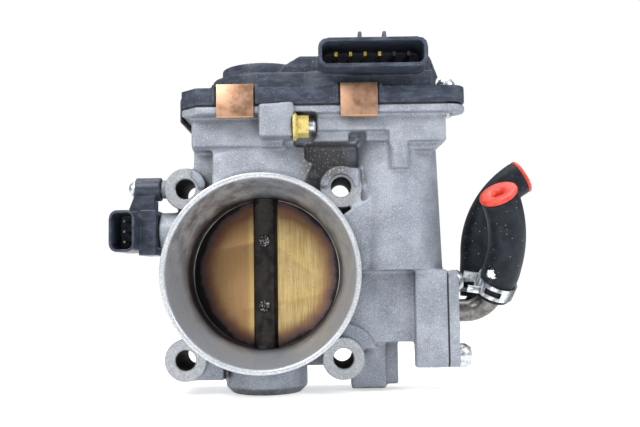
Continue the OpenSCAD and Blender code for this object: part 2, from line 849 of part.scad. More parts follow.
module plate_screws() {
    color("dimgray") translate([0, shaft_y, 0]) rotate([0, 0, -plate_rest])
        for (z = plate_screw_z) translate([0, 0, z]) {
            rod_y(-flat_depth, 4.6, plate_screw_r - set_gap);
            rod_y(-flat_depth - 0.7, -flat_depth, 2.4);
        }
}

module sector_gear() {
    color([0.86, 0.82, 0.7]) translate([0, shaft_y, sector_z]) difference() {
        union() {
            linear_extrude(sector_t) {
                polygon(concat([[0, 0]], teeth_points(sector_teeth, sector_module,
                                                      sector_first, sector_last)));
                circle(r = 11);
            }
            translate([0, 0, -2.6]) cylinder(h = 10, r = 9.6);
        }
        translate([0, 0, -5]) cylinder(h = 20, r = shaft_r + set_gap);
        // weight-saving windows
        for (a = [12, 53]) rotate([0, 0, a]) translate([15.6, 0, -1]) cylinder(h = 9, r = 3);
    }
}

module shaft_nut() {
    color("silver") translate([0, shaft_y, sector_z + sector_t + 1.4]) difference() {
        hex(10.4, 3);
        translate([0, 0, -1]) cylinder(h = 5, r = 4);
    }
}

module sensor_magnet() {
    color("darkslategray") translate([0, shaft_y, lower_bearing_z + 123]) cylinder(h = 2, r = 4);
}

module idler_pin() {
    color("lightgray") translate([idler_x, shaft_y, 56]) cylinder(h = 26, r = 2 - set_gap);
}

module idler_gear() {
    color([0.9, 0.88, 0.8]) translate([idler_x, shaft_y, 0]) difference() {
        union() {
            translate([0, 0, sector_z]) rotate([0, 0, 180 / idler_small_teeth])
                spur_gear(idler_small_teeth, sector_module, large_z - sector_z + eps);
            translate([0, 0, large_z]) spur_gear(idler_large_teeth, motor_module, large_t);
            translate([0, 0, floor_z + 0.2]) cylinder(h = 14.2, r = 4.4);
        }
        translate([0, 0, 60]) cylinder(h = 30, r = 2 + run_gap);
        for (a = [0:60:300]) rotate([0, 0, a + 30]) translate([13.6, 0, large_z - 1])
            cylinder(h = 9, r = 4);
    }
}

// ---------- stop screw ----------

module stop_screw() {
    color("silver") translate([0, stop_y, stop_z]) {
        rod_x(3.2, 21.8, stop_r - set_gap);
        translate([21.8, 0, 0]) rotate([0, 90, 0])
            cylinder(h = 0.7, r1 = stop_r - set_gap, r2 = stop_r - 0.7);
    }
}

module stop_nut() {
    color("gold") translate([stop_face_x + set_gap, stop_y, stop_z]) rotate([0, 90, 0]) difference() {
        union() {
            cylinder(h = 1.1, r = 5.9);
            translate([0, 0, 1.1]) cylinder(h = 1, r1 = 5.9, r2 = 4.4);
            translate([0, 0, 1.1]) rotate([0, 0, 12]) hex(8, 5.4);
        }
        translate([0, 0, -1]) cylinder(h = 9, r = stop_r);
    }
}

// ---------- pressure sensor ----------

module map_sensor() {
    color([0.1, 0.1, 0.11]) difference() {
        union() {
            // body against the port, and the plug that faces the inlet side
            translate([0, 0, map_z - 0.8]) box(-51.5, map_face_x - 0.4, -38, -18, -9.4, 9.4);
            translate([0, 0, map_z]) box(map_face_x - 0.8, map_face_x - 0.02, -36, -20, -7, 7);
            translate([map_plug_x, 0, map_z - 0.5])
                slab_y(map_plug_w, map_plug_h, 3.3, map_plug_y, -26);
            // nozzle in the port
            translate([0, map_y, map_z]) rod_x(map_face_x - 1, -37, 3.4);
            translate([0, map_y, map_z]) rod_x(map_face_x - 1, map_face_x + 1.2, 5);
            // arm up to the fixing screw
            translate([0, map_y + 4, 0]) rotate([90, 0, 0]) linear_extrude(8)
                polygon([[-58, 25], [-46, 25], [-46, 33], [-51, 40], [-54.4, 40], [-55, 33]]);
            translate([0, map_y, map_screw_z]) rod_x(-54.4, map_face_x + 0.18, 5);
        }
        translate([map_plug_x, 0, map_z - 0.5])
            slab_y(map_plug_w - 2.2, map_plug_h - 2.2, 2.3, map_plug_y - 1, -32);
        translate([0, map_y, map_z]) rod_x(-50, -30, 1.2);
        translate([0, map_y, map_screw_z]) rod_x(-60, -40, 3.6);
        for (z = [-4.2, 0, 4.2]) translate([map_plug_x, -31, map_z - 0.5 + z])
            cube([0.9, 6, 0.9], center = true);
    }
}

module map_sensor_terminals() {
    color("silver") for (z = [-4.2, 0, 4.2])
        translate([map_plug_x, 0, map_z - 0.5 + z]) box(-0.4, 0.4, -43, -28.4, -0.4, 0.4);
}

module map_sensor_oring() {
    color("black") translate([-40.2, map_y, map_z]) rotate([0, 90, 0]) rotate_extrude()
        translate([4.29, 0]) circle(r = 0.88);
}

module map_sensor_bush() {
    color("silver") translate([0, map_y, map_screw_z]) rotate([0, 90, 0])
        translate([0, 0, -54.6]) ring(3.6 - set_gap, 2.2, 54.6 - 43.8);
}

module map_sensor_screw() {
    color("gainsboro") translate([-54.62, map_y, map_screw_z]) rotate([0, -90, 0])
        pan_screw(3.3, 2.7, 1.9 - set_gap, 16);
}

// ---------- coolant parts ----------

module coolant_outline() {
    polygon([[coolant_y, -4], [coolant_y + 4, 0], [coolant_rear - 4, 0], [coolant_rear, -4],
             [coolant_rear, -30], [-23, -30], [-25, -40], [coolant_y + 2, -40],
             [coolant_y, -38]]);
}

module coolant_cover() {
    color([0.66, 0.67, 0.69]) difference() {
        translate([pipe_start, 0, 0]) rotate([90, 0, 90])
            linear_extrude(coolant_plate_t) coolant_outline();
        for (p = coolant_screw_places) translate([0, p[0], p[1]])
            rod_x(60, 90, coolant_screw_r + 0.2);
        for (y = [front_pipe_y, rear_pipe_y]) translate([0, y, pipe_z])
            rod_x(60, 90, pipe_r + set_gap);
    }
}

module coolant_gasket() {
    color([0.2, 0.2, 0.2]) difference() {
        translate([coolant_face, 0, 0]) rotate([90, 0, 90])
            linear_extrude(coolant_gasket_t) coolant_outline();
        for (p = coolant_screw_places) translate([0, p[0], p[1]])
            rod_x(60, 90, coolant_screw_r + 0.2);
        for (y = [front_pipe_y, rear_pipe_y]) translate([0, y, pipe_z]) rod_x(60, 90, 5);
    }
}

module coolant_screws() {
    color("gainsboro") for (p = coolant_screw_places)
        translate([pipe_start + coolant_plate_t, p[0], p[1]]) rotate([0, 90, 0])
            pan_screw(5, 5, coolant_screw_r - set_gap, 13);
}

// frame at the root of a pipe, which leaves the coolant cover along +X
module pipe_frame(y, tilt) {
    translate([pipe_start, y, pipe_z]) rotate([tilt, 0, 0]) rotate([0, 90, 0])
        rotate([0, 0, 180]) children();
}

// the spigot is a hair thinner than the bend, so it starts inside the bend's wall
module pipe(route) {
    step = 0.05;
    sunk = 0.5;
    tube_run(route, pipe_r, pipe_bore_r);
    at_run_end(route) translate([0, 0, -sunk]) linear_extrude(spigot - 1.5 + sunk)
        tube_section(pipe_r - step, pipe_bore_r + step);
}

module front_pipe() {
    color([0.55, 0.52, 0.48]) pipe_frame(front_pipe_y, front_tilt) pipe(front_route);
}

module rear_pipe() {
    color([0.55, 0.52, 0.48]) pipe_frame(rear_pipe_y, 0) pipe(rear_route);
}

module hose(route) {
    tube_run(route, hose_r, hose_bore_r);
}

// frame at the pipe's end, turned so that a positive bend leans to +X
module hose_frame(y, tilt, route) {
    pipe_frame(y, tilt) at_run_end(route) rotate([0, 0, 180]) children();
}

module front_hose() {
    color([0.07, 0.07, 0.08]) hose_frame(front_pipe_y, front_tilt, front_route)
        hose(front_hose_route);
}

module rear_hose() {
    color([0.07, 0.07, 0.08]) hose_frame(rear_pipe_y, 0, rear_route) hose(rear_hose_route);
}

// spring band with two squeeze ears
module clamp_band(ear_angle) {
    translate([0, 0, 2]) {
        difference() {
            cylinder(h = 6, r = hose_r + 0.9);
            translate([0, 0, -1]) cylinder(h = 8, r = hose_r + 0.04);
            for (a = [60, 180, 300]) rotate([0, 0, a + ear_angle])
                translate([hose_r, 0, 3]) cube([4, 7, 2.6], center = true);
        }
        rotate([0, 0, ear_angle]) {
            box(hose_r + 0.5, hose_r + 7, -3.4, -2.3, 3.2, 6);
            box(hose_r + 0.5, hose_r + 6, 2.3, 3.4, 0, 2.8);
        }
    }
}

module front_clamp() {
    color("gainsboro") hose_frame(front_pipe_y, front_tilt, front_route) clamp_band(190);
}

module rear_clamp() {
    color("gainsboro") hose_frame(rear_pipe_y, 0, rear_route) clamp_band(60);
}

module hose_cap() {
    difference() {
        union() {
            translate([0, 0, 0.02]) cylinder(h = 1.7, r = hose_r + 0.3);
            translate([0, 0, -3]) cylinder(h = 3.1, r = hose_bore_r - 0.2);
        }
        translate([0, 0, -4]) cylinder(h = 4.6, r = 3.2);
        translate([0, 0, 1.1]) cylinder(h = 1, r1 = 1.6, r2 = 2.8);
    }
}

module front_cap() {
    color([0.9, 0.13, 0.1]) hose_frame(front_pipe_y, front_tilt, front_route)
        at_run_end(front_hose_route) hose_cap();
}

module rear_cap() {
    color([0.9, 0.13, 0.1]) hose_frame(rear_pipe_y, 0, rear_route)
        at_run_end(rear_hose_route) hose_cap();
}

throttle_housing();
gear_cover();
cover_gasket();
cover_clips();
cover_screws();
connector_terminals();
position_sensor();
upper_bearing();
lower_bearing();
upper_seal();
lower_seal();
bearing_cap();
return_spring();
motor_case();
motor_end_cap();
motor_magnets();
motor_brushes();
motor_terminals();
motor_bushes();
motor_screws();
stop_screw();
stop_nut();
idler_pin();
map_sensor();
map_sensor_terminals();
map_sensor_oring();
map_sensor_screw();
map_sensor_bush();
coolant_cover();
coolant_gasket();
coolant_screws();
front_pipe();
rear_pipe();
front_hose();
rear_hose();
front_clamp();
rear_clamp();
front_cap();
rear_cap();
throttle_shaft();
throttle_plate();
plate_screws();
sector_gear();
shaft_nut();
sensor_magnet();
idler_gear();
motor_shaft();
motor_armature();
motor_commutator();
motor_pinion();
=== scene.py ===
"""Looks of the throttle body: castings, plastics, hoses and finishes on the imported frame."""
import json
import math

import bmesh
import bpy
from mathutils import Matrix, Vector

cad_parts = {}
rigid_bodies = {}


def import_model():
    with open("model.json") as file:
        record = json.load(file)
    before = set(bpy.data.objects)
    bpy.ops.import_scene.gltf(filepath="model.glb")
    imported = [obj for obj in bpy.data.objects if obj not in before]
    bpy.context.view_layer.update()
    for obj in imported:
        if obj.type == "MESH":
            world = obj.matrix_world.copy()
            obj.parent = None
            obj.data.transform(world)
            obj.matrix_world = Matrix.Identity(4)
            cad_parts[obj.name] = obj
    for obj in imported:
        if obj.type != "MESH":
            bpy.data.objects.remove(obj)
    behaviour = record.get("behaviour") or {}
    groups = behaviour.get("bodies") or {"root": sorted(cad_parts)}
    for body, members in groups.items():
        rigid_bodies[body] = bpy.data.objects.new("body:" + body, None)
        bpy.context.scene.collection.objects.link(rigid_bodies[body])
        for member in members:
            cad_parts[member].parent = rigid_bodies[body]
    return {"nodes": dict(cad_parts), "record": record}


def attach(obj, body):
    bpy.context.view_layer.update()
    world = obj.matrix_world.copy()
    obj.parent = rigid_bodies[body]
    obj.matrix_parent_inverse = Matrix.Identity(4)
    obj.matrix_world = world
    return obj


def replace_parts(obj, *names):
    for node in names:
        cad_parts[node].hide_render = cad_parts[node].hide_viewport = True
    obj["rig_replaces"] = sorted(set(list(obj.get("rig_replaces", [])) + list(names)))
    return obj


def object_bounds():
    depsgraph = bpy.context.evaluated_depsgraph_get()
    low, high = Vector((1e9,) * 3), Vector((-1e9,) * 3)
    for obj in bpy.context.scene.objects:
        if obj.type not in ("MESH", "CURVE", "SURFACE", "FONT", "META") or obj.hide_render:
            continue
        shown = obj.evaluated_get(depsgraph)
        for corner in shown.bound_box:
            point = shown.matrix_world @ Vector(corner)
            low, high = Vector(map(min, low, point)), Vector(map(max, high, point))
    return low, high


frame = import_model()
cad_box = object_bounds()
scene = bpy.context.scene
MM = 0.001

# ---------------------------------------------------------------- camera

CAMERA_PLACE = (25.831, -389.502, -1.928)
CAMERA_RIGHT = (0.999879, 0.006922, -0.013923)
CAMERA_UP = (0.014400, -0.074408, 0.997124)
CAMERA_FORWARD = (-0.005866, 0.997204, 0.074498)
FOCAL_LENGTH = 47.81

camera_data = bpy.data.cameras.new("camera")
camera_data.sensor_width = 36
camera_data.lens = FOCAL_LENGTH
camera_data.clip_start = 0.01
camera_data.clip_end = 20
camera = bpy.data.objects.new("camera", camera_data)
scene.collection.objects.link(camera)
turn = Matrix((CAMERA_RIGHT, CAMERA_UP, tuple(-v for v in CAMERA_FORWARD))).transposed()
camera.matrix_world = Matrix.Translation(Vector(CAMERA_PLACE) * MM) @ turn.to_4x4()
scene.camera = camera
scene.view_settings.view_transform = "Standard"

# sizes of the object, in millimetres
SHAFT_Y = -20.0
SHAFT_HOLE_RADIUS = 5.3
NECK_RADIUS = 40.0
MOUTH_RADIUS = 37.6
BORE_RADIUS = 32.0
OUTLET_RADIUS = 32.5
OUTLET_DEPTH = 8
LINER_RADIUS = 36.2    # outside of the separate turned liner, inside the casting
RIM_Y = -54.0
NECK_END_Y = -39.0
EAR_FACE_Y = -34.5
BOLT_X = 32.7
BOLT_Z = 35.7
BOLT_HOLE_RADIUS = 4.25
PLATE_TILT = math.radians(8)
HOSE_RADIUS = 7.65
HOSE_BORE_RADIUS = 4.62
SOOT_X = 26            # middle of the soot patch by the upper right ear
SOOT_Z = 47

# ---------------------------------------------------------------- materials


class Shader:
    """A node material that is built up in object coordinates."""

    def __init__(self, name, roughness, metallic=0.0):
        self.material = bpy.data.materials.new(name)
        self.material.use_nodes = True
        self.nodes = self.material.node_tree.nodes
        self.links = self.material.node_tree.links
        self.bsdf = self.nodes["Principled BSDF"]
        self.bsdf.inputs["Metallic"].default_value = metallic
        self.bsdf.inputs["Roughness"].default_value = roughness
        self.place = self.add("ShaderNodeTexCoord").outputs["Object"]
        self.heights = None

    def add(self, kind):
        return self.nodes.new(kind)

    def feed(self, socket, value):
        if isinstance(value, bpy.types.NodeSocket):
            self.links.new(value, socket)
        elif isinstance(value, tuple) and len(value) == 3 and socket.type == "RGBA":
            socket.default_value = (*value, 1)
        else:
            socket.default_value = value

    def math(self, operation, a, b=0.0, clamp=False):
        node = self.add("ShaderNodeMath")
        node.operation = operation
        node.use_clamp = clamp
        self.feed(node.inputs[0], a)
        self.feed(node.inputs[1], b)
        return node.outputs[0]

    def axis(self, name):
        node = self.add("ShaderNodeSeparateXYZ")
        self.feed(node.inputs[0], self.place)
        return node.outputs[name]

    def stretched(self, x, y, z):
        node = self.add("ShaderNodeMapping")
        node.inputs["Scale"].default_value = (x, y, z)
        self.feed(node.inputs["Vector"], self.place)
        return node.outputs[0]

    def noise(self, size_mm, detail=3.0, roughness=0.6, place=None):
        node = self.add("ShaderNodeTexNoise")
        node.inputs["Scale"].default_value = 1 / (size_mm * MM)
        node.inputs["Detail"].default_value = detail
        node.inputs["Roughness"].default_value = roughness
        self.feed(node.inputs["Vector"], place or self.place)
        return node.outputs["Fac"]

    def cells(self, size_mm, place=None):
        """Distance to the middle of the nearest cell, and that cell's own random number."""
        node = self.add("ShaderNodeTexVoronoi")
        node.inputs["Scale"].default_value = 1 / (size_mm * MM)
        self.feed(node.inputs["Vector"], place or self.place)
        split = self.add("ShaderNodeSeparateColor")
        self.feed(split.inputs[0], node.outputs["Color"])
        return node.outputs["Distance"], split.outputs[0]

    def ramp(self, value, low, high, start=0.0, end=1.0):
        """value runs from low to high; the result runs from start to end, with soft ends."""
        node = self.add("ShaderNodeMapRange")
        node.interpolation_type = "SMOOTHSTEP"
        self.feed(node.inputs["Value"], value)
        node.inputs["From Min"].default_value = low
        node.inputs["From Max"].default_value = high
        node.inputs["To Min"].default_value = start
        node.inputs["To Max"].default_value = end
        return node.outputs[0]

    def mix(self, factor, a, b):
        node = self.add("ShaderNodeMix")
        node.data_type = "RGBA"
        self.feed(node.inputs["Factor"], factor)
        self.feed(node.inputs[6], a)
        self.feed(node.inputs[7], b)
        return node.outputs[2]

    def times(self, *factors):
        result = factors[0]
        for factor in factors[1:]:
            result = self.math("MULTIPLY", result, factor)
        return result

    def distance(self, point_mm):
        """Distance in metres from a point given in millimetres."""
        node = self.add("ShaderNodeVectorMath")
        node.operation = "DISTANCE"
        self.feed(node.inputs[0], self.place)
        node.inputs[1].default_value = tuple(v * MM for v in point_mm)
        return node.outputs["Value"]

    def specks(self, size_mm, share, place=None):
        """1 on a share of small round specks, 0 between them."""
        near, chance = self.cells(size_mm, place)
        round_speck = self.ramp(near, 0.32, 0.18)
        chosen = self.math("LESS_THAN", chance, share)
        return self.times(round_speck, chosen)

    def bump(self, height, depth_mm):
        node = self.add("ShaderNodeBump")
        node.inputs["Distance"].default_value = depth_mm * MM
        self.feed(node.inputs["Height"], height)
        if self.heights is not None:
            self.feed(node.inputs["Normal"], self.heights)
        self.heights = node.outputs[0]

    def painted_shade(self, reach_mm):
        """Painted shade: 1 in corners and crevices, where ambient occlusion finds shade, 0 on open
        faces.
        """
        node = self.add("ShaderNodeAmbientOcclusion")
        node.samples = 8
        node.inputs["Distance"].default_value = reach_mm * MM
        return self.ramp(node.outputs["AO"], 0.85, 0.35)

    def done(self, color, roughness=None):
        self.feed(self.bsdf.inputs["Base Color"], color)
        if roughness is not None:
            self.feed(self.bsdf.inputs["Roughness"], roughness)
        if self.heights is not None:
            self.feed(self.bsdf.inputs["Normal"], self.heights)
        return self.material


def cast_aluminium():
    """Shot-blasted casting: bright specks, dark pits, painted shade in corners, soot by one ear."""
    s = Shader("cast_aluminium", 0.55, 0.45)
    grain = s.noise(0.4, 4, 0.7)
    blotch = s.noise(14, 3)
    stain = s.noise(4.5, 4, 0.7)
    color = s.mix(s.ramp(grain, 0.34, 0.66), (0.172, 0.190, 0.224), (0.325, 0.352, 0.405))
    color = s.mix(s.ramp(blotch, 0.38, 0.66, 0.0, 0.35), color, (0.49, 0.525, 0.585))
    color = s.mix(s.ramp(stain, 0.54, 0.74, 0.0, 0.5), color, (0.20, 0.21, 0.235))
    color = s.mix(s.times(s.specks(0.6, 0.22), 0.6), color, (0.80, 0.83, 0.88))
    color = s.mix(s.times(s.specks(0.9, 0.14), 0.4), color, (0.10, 0.10, 0.11))
    # painted shade: corners and crevices darkened towards near black, varied by the stain noise
    crevice_shade = s.painted_shade(6)
    color = s.mix(s.times(crevice_shade, s.ramp(stain, 0.3, 0.6, 0.6, 1.0)), color, (0.075, 0.073, 0.078))

    # soot between the neck and the upper right ear
    away_x = s.math("ABSOLUTE", s.math("SUBTRACT", s.axis("X"), SOOT_X * MM))
    away_z = s.math("ABSOLUTE", s.math("SUBTRACT", s.axis("Z"), SOOT_Z * MM))
    flat_x = s.ramp(away_x, 0.014, 0.007)
    flat_z = s.ramp(away_z, 0.0115, 0.006)
    front = s.times(s.ramp(s.axis("Y"), -0.043, -0.036), s.ramp(s.axis("Y"), -0.014, -0.02))
    patch = s.times(flat_x, flat_z, front, s.ramp(s.noise(6, 4), 0.2, 0.42))
    color = s.mix(s.times(patch, 0.85), color, (0.105, 0.098, 0.098))
    color = s.mix(s.times(patch, s.specks(0.9, 0.55), 0.85), color, (0.72, 0.71, 0.70))
    # the rear face is milled flat
    milled = s.times(s.ramp(s.axis("Y"), -0.9 * MM, -0.4 * MM), s.ramp(s.axis("Z"), 0.05, 0.046))
    lines = s.noise(0.5, 2, 0.5, s.stretched(1, 1, 0.02))
    color = s.mix(milled, color, s.mix(lines, (0.38, 0.395, 0.42), (0.56, 0.575, 0.60)))
    s.bump(s.noise(0.45, 4, 0.7), 0.11)
    s.bump(s.noise(3.2, 3, 0.6), 0.16)
    rough = s.math("SUBTRACT", s.ramp(grain, 0.3, 0.7, 0.66, 0.46), s.times(milled, 0.16))
    return s.done(color, rough)


def turned_aluminium(name, light, mouth_soot_and_shade):
    """Turned face or bore with fine rings; on the bore, soot and painted shade darken the mouth and
    the bore by the plate, and the mouth's inner wall gets a painted bluish reflection.
    """
    s = Shader(name, 0.4, 0.6)
    rings = s.noise(0.5, 2, 0.5, s.stretched(0.03, 1, 0.03))
    grain = s.noise(0.7, 4, 0.7)
    stain = s.noise(7, 4, 0.65)
    low = tuple(v * light for v in (0.40, 0.42, 0.45))
    high = tuple(v * light for v in (0.62, 0.64, 0.67))
    color = s.mix(s.ramp(grain, 0.35, 0.65), low, high)
    color = s.mix(s.ramp(rings, 0.4, 0.62, 0.0, 0.25), color, (0.34, 0.35, 0.37))
    color = s.mix(s.times(s.specks(0.9, 0.25), 0.6), color, (0.86, 0.87, 0.89))

    if mouth_soot_and_shade:
        x, z = s.axis("X"), s.axis("Z")
        radius = s.math("SQRT", s.math("ADD", s.times(x, x), s.times(z, z)))
        inner_wall = s.ramp(radius, 0.0390, 0.0383)
        inside = s.times(s.ramp(s.axis("Y"), -0.0538, -0.0525), inner_wall)
        # painted shade and a painted bluish reflection on the inner wall of the mouth
        color = s.mix(s.times(inside, 0.75), color, (0.39, 0.43, 0.50))
        # brown soot patches, made strongest towards the top left where the inner wall lies in shade:
        # partly painted shade
        soot_and_shade_weight = s.times(s.ramp(z, -0.012, 0.032, 0.1, 1.0), s.ramp(x, 0.030, -0.030, 0.45, 1.0))
        brown = s.times(inside, s.ramp(stain, 0.36, 0.66), soot_and_shade_weight)
        color = s.mix(s.times(brown, 0.85), color, (0.10, 0.078, 0.068))
        # near-black band on the bore around the plate: a soot ring in front of the plate, and
        # painted shade on the bore behind it, seen through the gap
        waves = s.noise(14, 2, 0.5)
        wavy = s.math("ADD", s.axis("Y"), s.ramp(waves, 0.3, 0.7, -0.0014, 0.0014))
        soot_ring_and_shade = s.times(s.ramp(wavy, -0.040, -0.029), s.ramp(wavy, -0.001, -0.005), inner_wall)
        color = s.mix(s.times(soot_ring_and_shade, 0.97), color, (0.008, 0.007, 0.007))
    s.bump(rings, 0.05)
    s.bump(grain, 0.04)
    return s.done(color, s.ramp(stain, 0.3, 0.7, 0.34, 0.52))


def tarnished_plate():
    """Brass-coloured plate: gold in the middle, brown and purple towards the edge."""
    s = Shader("plate_brass", 0.42, 0.55)
    x = s.math("DIVIDE", s.axis("X"), math.cos(PLATE_TILT))
    z = s.axis("Z")
    radius = s.math("SQRT", s.math("ADD", s.times(x, x), s.times(z, z)))
    cloud = s.noise(9, 4, 0.6)
    brushed = s.noise(0.6, 3, 0.6, s.stretched(1, 1, 0.05))
    left = s.ramp(x, 0.004, -0.006)
    wavy = s.math("ADD", radius, s.ramp(cloud, 0.3, 0.7, -0.0009, 0.0009))
    # the near-black edge band reaches further in on the left half
    wavy = s.math("ADD", wavy, s.ramp(x, -0.008, -0.030, 0.0, 0.0022))
    gold = s.mix(s.ramp(brushed, 0.35, 0.65), (0.40, 0.265, 0.092), (0.56, 0.41, 0.17))
    gold = s.mix(s.times(s.ramp(cloud, 0.4, 0.7), 0.4), gold, (0.64, 0.50, 0.27))
    gold = s.mix(s.times(left, 0.75), gold, (0.37, 0.195, 0.085))
    gold = s.mix(s.times(left, s.ramp(x, -0.0085, -0.0065)), gold, (0.56, 0.38, 0.14))
    brown = s.math("ADD", s.ramp(wavy, 0.0225, 0.0285), s.ramp(z, 0.014, 0.028, 0.0, 0.55))
    color = s.mix(s.times(s.math("MINIMUM", brown, 1.0), 0.85), gold, (0.19, 0.080, 0.052))
    color = s.mix(s.ramp(wavy, 0.0275, 0.0298), color, (0.13, 0.085, 0.085))
    color = s.mix(s.ramp(wavy, 0.0298, 0.0316), color, (0.020, 0.016, 0.017))
    color = s.mix(s.times(s.specks(1.2, 0.10), 0.4), color, (0.09, 0.06, 0.04))
    s.bump(brushed, 0.035)
    s.bump(s.noise(2.5, 3), 0.05)
    return s.done(color, s.ramp(cloud, 0.3, 0.7, 0.34, 0.5))


def black_plastic(name, roughness, dust):
    """Moulded black plastic with fine texture, scuffs and light dust."""
    s = Shader(name, roughness)
    s.bsdf.inputs["Specular IOR Level"].default_value = 0.36
    grain = s.noise(0.35, 3)
    scuff = s.noise(6, 5, 0.7, s.stretched(1, 1, 2.5))
    color = s.mix(s.ramp(scuff, 0.4, 0.7), (0.024, 0.031, 0.047), (0.057, 0.071, 0.106))
    color = s.mix(s.times(s.specks(0.9, 0.13), dust), color, (0.36, 0.37, 0.40))
    # painted shade: crevices darkened towards near black
    color = s.mix(s.times(s.painted_shade(3), 0.5), color, (0.012, 0.012, 0.013))
    s.bump(grain, 0.03)
    s.bump(s.noise(8, 2), 0.08)
    rough = s.ramp(scuff, 0.3, 0.7, roughness - 0.06, roughness + 0.12)
    return s.done(color, rough)


def metal(name, low, high, roughness, size_mm=2.5, marks_and_shade=(0.1, 0.09, 0.085), amount=0.35):
    """Plain metal that varies between two colours, with small dull marks and painted shade in its
    crevices, both in the marks colour.
    """
    s = Shader(name, roughness, 1.0)
    cloud = s.noise(size_mm, 4, 0.65)
    fine = s.noise(0.3, 3, 0.6, s.stretched(1, 1, 0.15))
    color = s.mix(s.ramp(cloud, 0.35, 0.65), low, high)
    color = s.mix(s.times(s.specks(1.1, 0.2), amount), color, marks_and_shade)
    # painted shade: crevices darkened towards the marks colour
    color = s.mix(s.times(s.painted_shade(1.5), 0.55), color, marks_and_shade)
    s.bump(fine, 0.015)
    return s.done(color, s.ramp(cloud, 0.3, 0.7, roughness - 0.07, roughness + 0.1))


def dull(name, low, high, roughness, size_mm=1.5, depth_mm=0.04):
    """Non-metal with a mottled surface: rubber, nylon, ferrite, board."""
    s = Shader(name, roughness)
    cloud = s.noise(size_mm, 4, 0.65)
    color = s.mix(s.ramp(cloud, 0.35, 0.65), low, high)
    s.bump(s.noise(0.5, 3), depth_mm)
    return s.done(color, s.ramp(cloud, 0.3, 0.7, roughness - 0.06, roughness + 0.06))


def hose_rubber(dot_mm):
    """Black hose: faint lengthwise bloom, light specks, and one dot of white paint."""
    s = Shader("hose_rubber", 0.46)
    s.bsdf.inputs["Specular IOR Level"].default_value = 0.15
    bloom = s.noise(7, 4, 0.65)
    fine = s.noise(0.9, 3, 0.7)
    color = s.mix(s.ramp(bloom, 0.35, 0.68), (0.005, 0.007, 0.010), (0.017, 0.021, 0.029))
    color = s.mix(s.ramp(fine, 0.62, 0.78, 0.0, 0.35), color, (0.12, 0.13, 0.15))
    color = s.mix(s.times(s.specks(0.8, 0.07), 0.5), color, (0.50, 0.51, 0.54))
    blob = s.math("ADD", s.distance(dot_mm), s.ramp(s.noise(1.2, 2), 0.3, 0.7, -0.0006, 0.0006))
    color = s.mix(s.ramp(blob, 0.0021, 0.0017), color, (0.85, 0.86, 0.87))
    s.bump(s.noise(0.4, 3), 0.025)
    s.bump(bloom, 0.12)
    return s.done(color, s.ramp(bloom, 0.3, 0.7, 0.36, 0.54))


def red_vinyl():
    """Soft red caps with a little bloom on the surface."""
    s = Shader("cap_vinyl", 0.38)
    cloud = s.noise(2.5, 3)
    color = s.mix(s.ramp(cloud, 0.35, 0.65), (0.50, 0.028, 0.012), (0.62, 0.055, 0.026))
    # painted shade: crevices darkened towards deep red
    color = s.mix(s.times(s.painted_shade(2), 0.45), color, (0.30, 0.012, 0.010))
    s.bsdf.inputs["Subsurface Weight"].default_value = 0.12
    s.bsdf.inputs["Subsurface Scale"].default_value = 0.002
    s.bsdf.inputs["Subsurface Radius"].default_value = (1.0, 0.25, 0.15)
    s.bump(s.noise(0.7, 2), 0.03)
    return s.done(color)


def yellow_paint():
    """Brass nut daubed with yellow paint that is worn to the metal in patches; pale patches are
    painted highlights and its corners get painted shade.
    """
    s = Shader("yellow_paint", 0.38, 0.1)
    daub = s.noise(1.6, 4, 0.65)
    color = s.mix(s.ramp(daub, 0.3, 0.55), (0.36, 0.25, 0.06), (0.58, 0.47, 0.15))
    # pale patches of the daub: painted highlights
    color = s.mix(s.ramp(daub, 0.62, 0.72), color, (0.66, 0.58, 0.28))
    # painted shade: corners darkened towards dark brass
    color = s.mix(s.times(s.painted_shade(1.5), 0.6), color, (0.24, 0.15, 0.03))
    s.bump(daub, 0.14)
    return s.done(color, s.ramp(daub, 0.3, 0.7, 0.26, 0.5))


def terminal_plating():
    """Gold blades; the two at the right end of the connector are dull tin."""
    s = Shader("terminal_gold", 0.24, 1.0)
    cloud = s.noise(0.8, 4, 0.65)
    color = s.mix(s.ramp(cloud, 0.35, 0.65), (0.62, 0.40, 0.07), (0.88, 0.64, 0.18))
    color = s.mix(s.ramp(s.axis("X"), 0.0515, 0.0525), color, (0.09, 0.085, 0.08))
    s.bump(cloud, 0.02)
    return s.done(color, s.ramp(cloud, 0.3, 0.7, 0.2, 0.36))


def burnt_steel():
    """Blackened shaft with brown deposits and light scratches."""
    s = Shader("black_steel", 0.4, 0.15)
    s.bsdf.inputs["Specular IOR Level"].default_value = 0.2
    cloud = s.noise(3.5, 4, 0.7)
    scratch = s.noise(0.5, 4, 0.7, s.stretched(1, 1, 0.12))
    color = s.mix(s.ramp(cloud, 0.35, 0.65), (0.009, 0.008, 0.008), (0.030, 0.025, 0.023))
    color = s.mix(s.ramp(scratch, 0.66, 0.8, 0.0, 0.5), color, (0.20, 0.18, 0.17))
    s.bump(cloud, 0.06)
    s.bump(scratch, 0.02)
    return s.done(color, s.ramp(cloud, 0.3, 0.7, 0.3, 0.5))


def staked_steel():
    """Screw ends that were punched over: dark, with bright torn flecks."""
    s = Shader("staked_steel", 0.34, 0.8)
    torn = s.noise(0.8, 4, 0.8)
    color = s.mix(s.ramp(torn, 0.52, 0.62), (0.022, 0.020, 0.020), (0.46, 0.46, 0.47))
    s.bump(torn, 0.35)
    return s.done(color, s.ramp(torn, 0.3, 0.7, 0.28, 0.5))


# ---------------------------------------------------------------- mesh helpers


def add_object(name, mesh):
    piece = bpy.data.objects.new(name, mesh)
    scene.collection.objects.link(piece)
    return piece


def apply_modifiers(piece):
    """Replaces the piece's mesh with the result of its modifiers."""
    bpy.context.view_layer.update()
    graph = bpy.context.evaluated_depsgraph_get()
    mesh = bpy.data.meshes.new_from_object(piece.evaluated_get(graph))
    piece.modifiers.clear()
    piece.data = mesh


